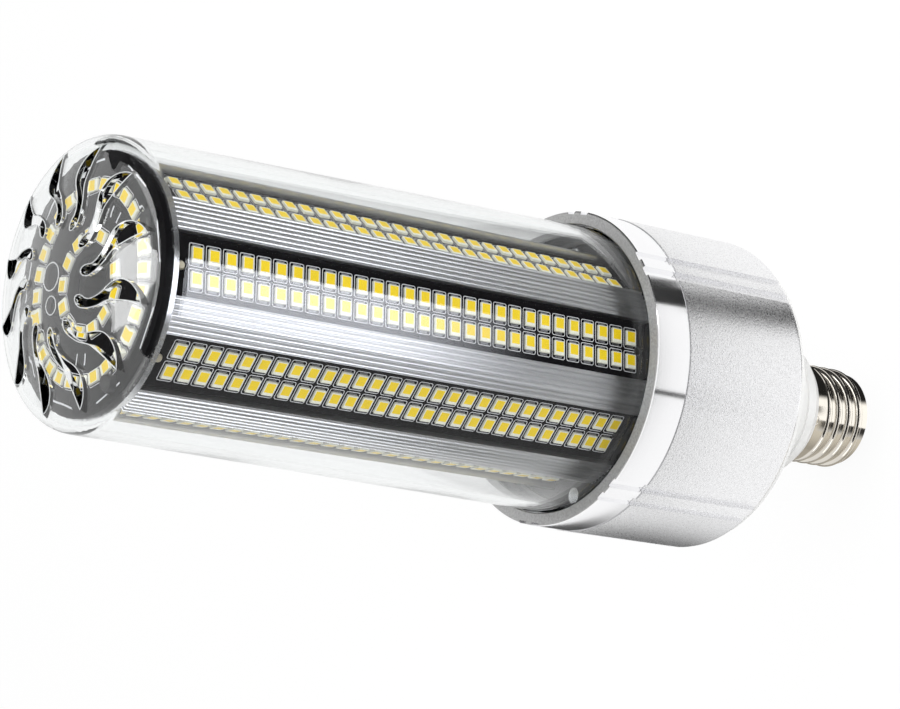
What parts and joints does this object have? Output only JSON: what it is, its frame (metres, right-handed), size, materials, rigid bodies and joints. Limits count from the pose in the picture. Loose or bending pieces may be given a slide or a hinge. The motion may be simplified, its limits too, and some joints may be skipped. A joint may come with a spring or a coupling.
{
  "type": "corn led bulb",
  "caption": "LED corn bulb: rows of LEDs on a fluted aluminium column inside a clear vented cover, silver housing with a cooling fan, and an E26 screw base.",
  "frame": {"origin": "centre of the base contact's flat end, at the bottom of the bulb", "axes": "+Z along the bulb's axis, from the screw base to the vented tip; the LED strip most in view in the picture faces -Y"},
  "size_m": [0.0796, 0.0796, 0.2505],
  "materials": {
    "clear_plastic": "clear moulded polycarbonate, glossy",
    "grey_silicone": "satin silicone bead",
    "black_board": "black solder mask",
    "led_package": "yellow phosphor in a pale frame",
    "column_metal": "bright extruded",
    "housing_metal": "fine blasted with a turned bright band",
    "bright_steel": "zinc plated",
    "black_plastic": "moulded, slightly rough",
    "white_plastic": "moulded, satin",
    "nickel": "nickel plated, bright",
    "black_glass": "pressed black glass",
    "solder": "soft bright solder",
    "copper_winding": "lacquered copper wire",
    "ferrite": "matt ferrite",
    "green_board": "green solder mask",
    "lead_cover": "silicone wire insulation",
    "yellow_tape": "wrapped polyester tape",
    "sleeve_black": "shrunk capacitor sleeve"
  },
  "bodies": {
    "bulb": {"cover": "clear_plastic", "cover_bead": "grey_silicone", "tip_board": "black_board", "tip_board_leds": "led_package", "end_plate": "column_metal", "tip_screws": "bright_steel", "column": "column_metal", "led_board_1": "black_board", "led_row_1": "led_package", "led_board_2": "black_board", "led_row_2": "led_package", "led_board_3": "black_board", "led_row_3": "led_package", "led_board_4": "black_board", "led_row_4": "led_package", "led_board_5": "black_board", "led_row_5": "led_package", "led_board_6": "black_board", "led_row_6": "led_package", "led_board_7": "black_board", "led_row_7": "led_package", "led_board_8": "black_board", "led_row_8": "led_package", "board_rivets": "bright_steel", "root_plate": "black_plastic", "column_screws": "bright_steel", "plate_screws": "bright_steel", "housing": "housing_metal", "fan_frame": "black_plastic", "fan_stator": "copper_winding", "fan_screws": "bright_steel", "rear_cover": "white_plastic", "rear_screws": "bright_steel", "driver_board": "green_board", "driver_screws": "bright_steel", "driver_transformer": "yellow_tape", "driver_capacitors": "sleeve_black", "driver_film_capacitor": "yellow_tape", "driver_inductor": "copper_winding", "screw_shell": "nickel", "base_insulator": "black_glass", "centre_contact": "solder", "live_lead": "lead_cover", "neutral_lead": "lead_cover"},
    "fan": {"fan_rotor": "black_plastic", "fan_magnet": "ferrite"}
  },
  "joints": [
    {"name": "fan_spin", "type": "hinge", "parent": "bulb", "child": "fan", "pos_m": [0, 0, 0.0915], "axis": [0, 0, 1], "continuous": true}
  ]
}
